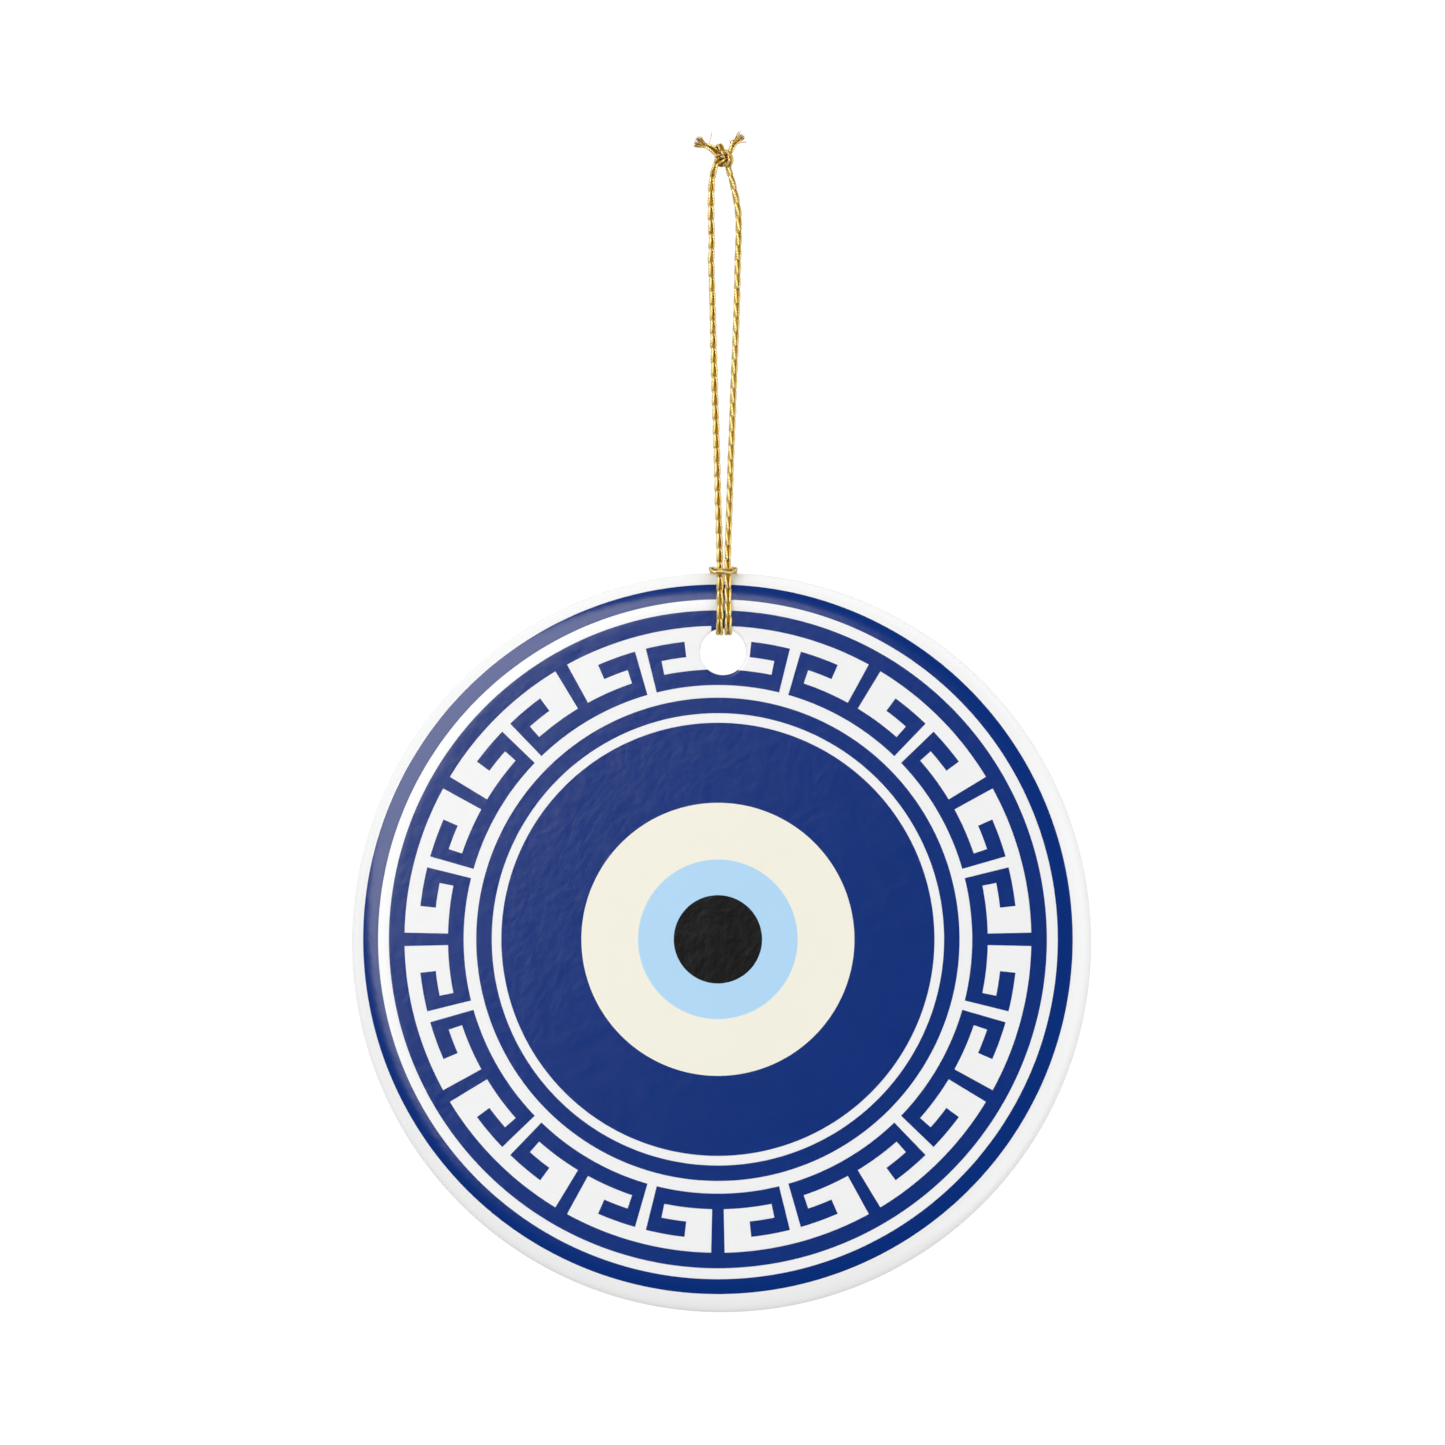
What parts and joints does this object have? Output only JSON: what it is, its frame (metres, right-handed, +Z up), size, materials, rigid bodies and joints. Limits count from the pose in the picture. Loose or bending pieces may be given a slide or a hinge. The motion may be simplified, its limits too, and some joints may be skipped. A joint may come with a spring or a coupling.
{
  "type": "evil eye ornament",
  "caption": "Round glazed ceramic evil eye ornament with concentric eye rings and a Greek key border, hitched through its rim hole on a knotted loop of thin metallic gold cord",
  "frame": {"origin": "the hang point: the inside of the cord loop just under the knot, where a nail, hook or twig carries the ornament", "axes": "+Z up along the hanging cord, decorated face towards -Y, +X to the right as seen from the front"},
  "size_m": [0.07, 0.0055, 0.1117],
  "materials": {
    "glazed_disc": "white glazed ceramic with a satin gloss; the face carries a printed eye in black, light blue, cream and cobalt blue with a cobalt Greek key border",
    "gold_cord": "thin knitted cord of metallic gold yarn, glinting ivory and amber"
  },
  "bodies": {
    "knot": {"cord_knot": "gold_cord", "cord_tail_left": "gold_cord", "cord_tail_right": "gold_cord"},
    "crown": {"cord_crown_left": "gold_cord", "cord_crown_right": "gold_cord"},
    "strands": {"cord_strand_left": "gold_cord", "cord_strand_right": "gold_cord"},
    "feet": {"cord_foot_left": "gold_cord", "cord_foot_right": "gold_cord"},
    "disc": {"ornament_disc": "glazed_disc", "cord_leg_left": "gold_cord", "cord_leg_right": "gold_cord", "cord_hitch_band": "gold_cord"}
  },
  "joints": [
    {"name": "swing_side", "type": "hinge", "parent": "knot", "child": "crown", "pos_m": [0, 0, 0], "axis": [0, 1, 0], "range_deg": [-40, 40]},
    {"name": "swing_fore", "type": "hinge", "parent": "crown", "child": "strands", "pos_m": [0, 0, 0], "axis": [1, 0, 0], "range_deg": [-40, 40]},
    {"name": "cord_twist", "type": "hinge", "parent": "strands", "child": "feet", "pos_m": [0.00005, 0, -0.0339], "axis": [0, 0, 1], "range_deg": [-180, 180]},
    {"name": "disc_tilt", "type": "hinge", "parent": "feet", "child": "disc", "pos_m": [0, 0, -0.0383], "axis": [1, 0, 0], "range_deg": [-60, 60]}
  ]
}
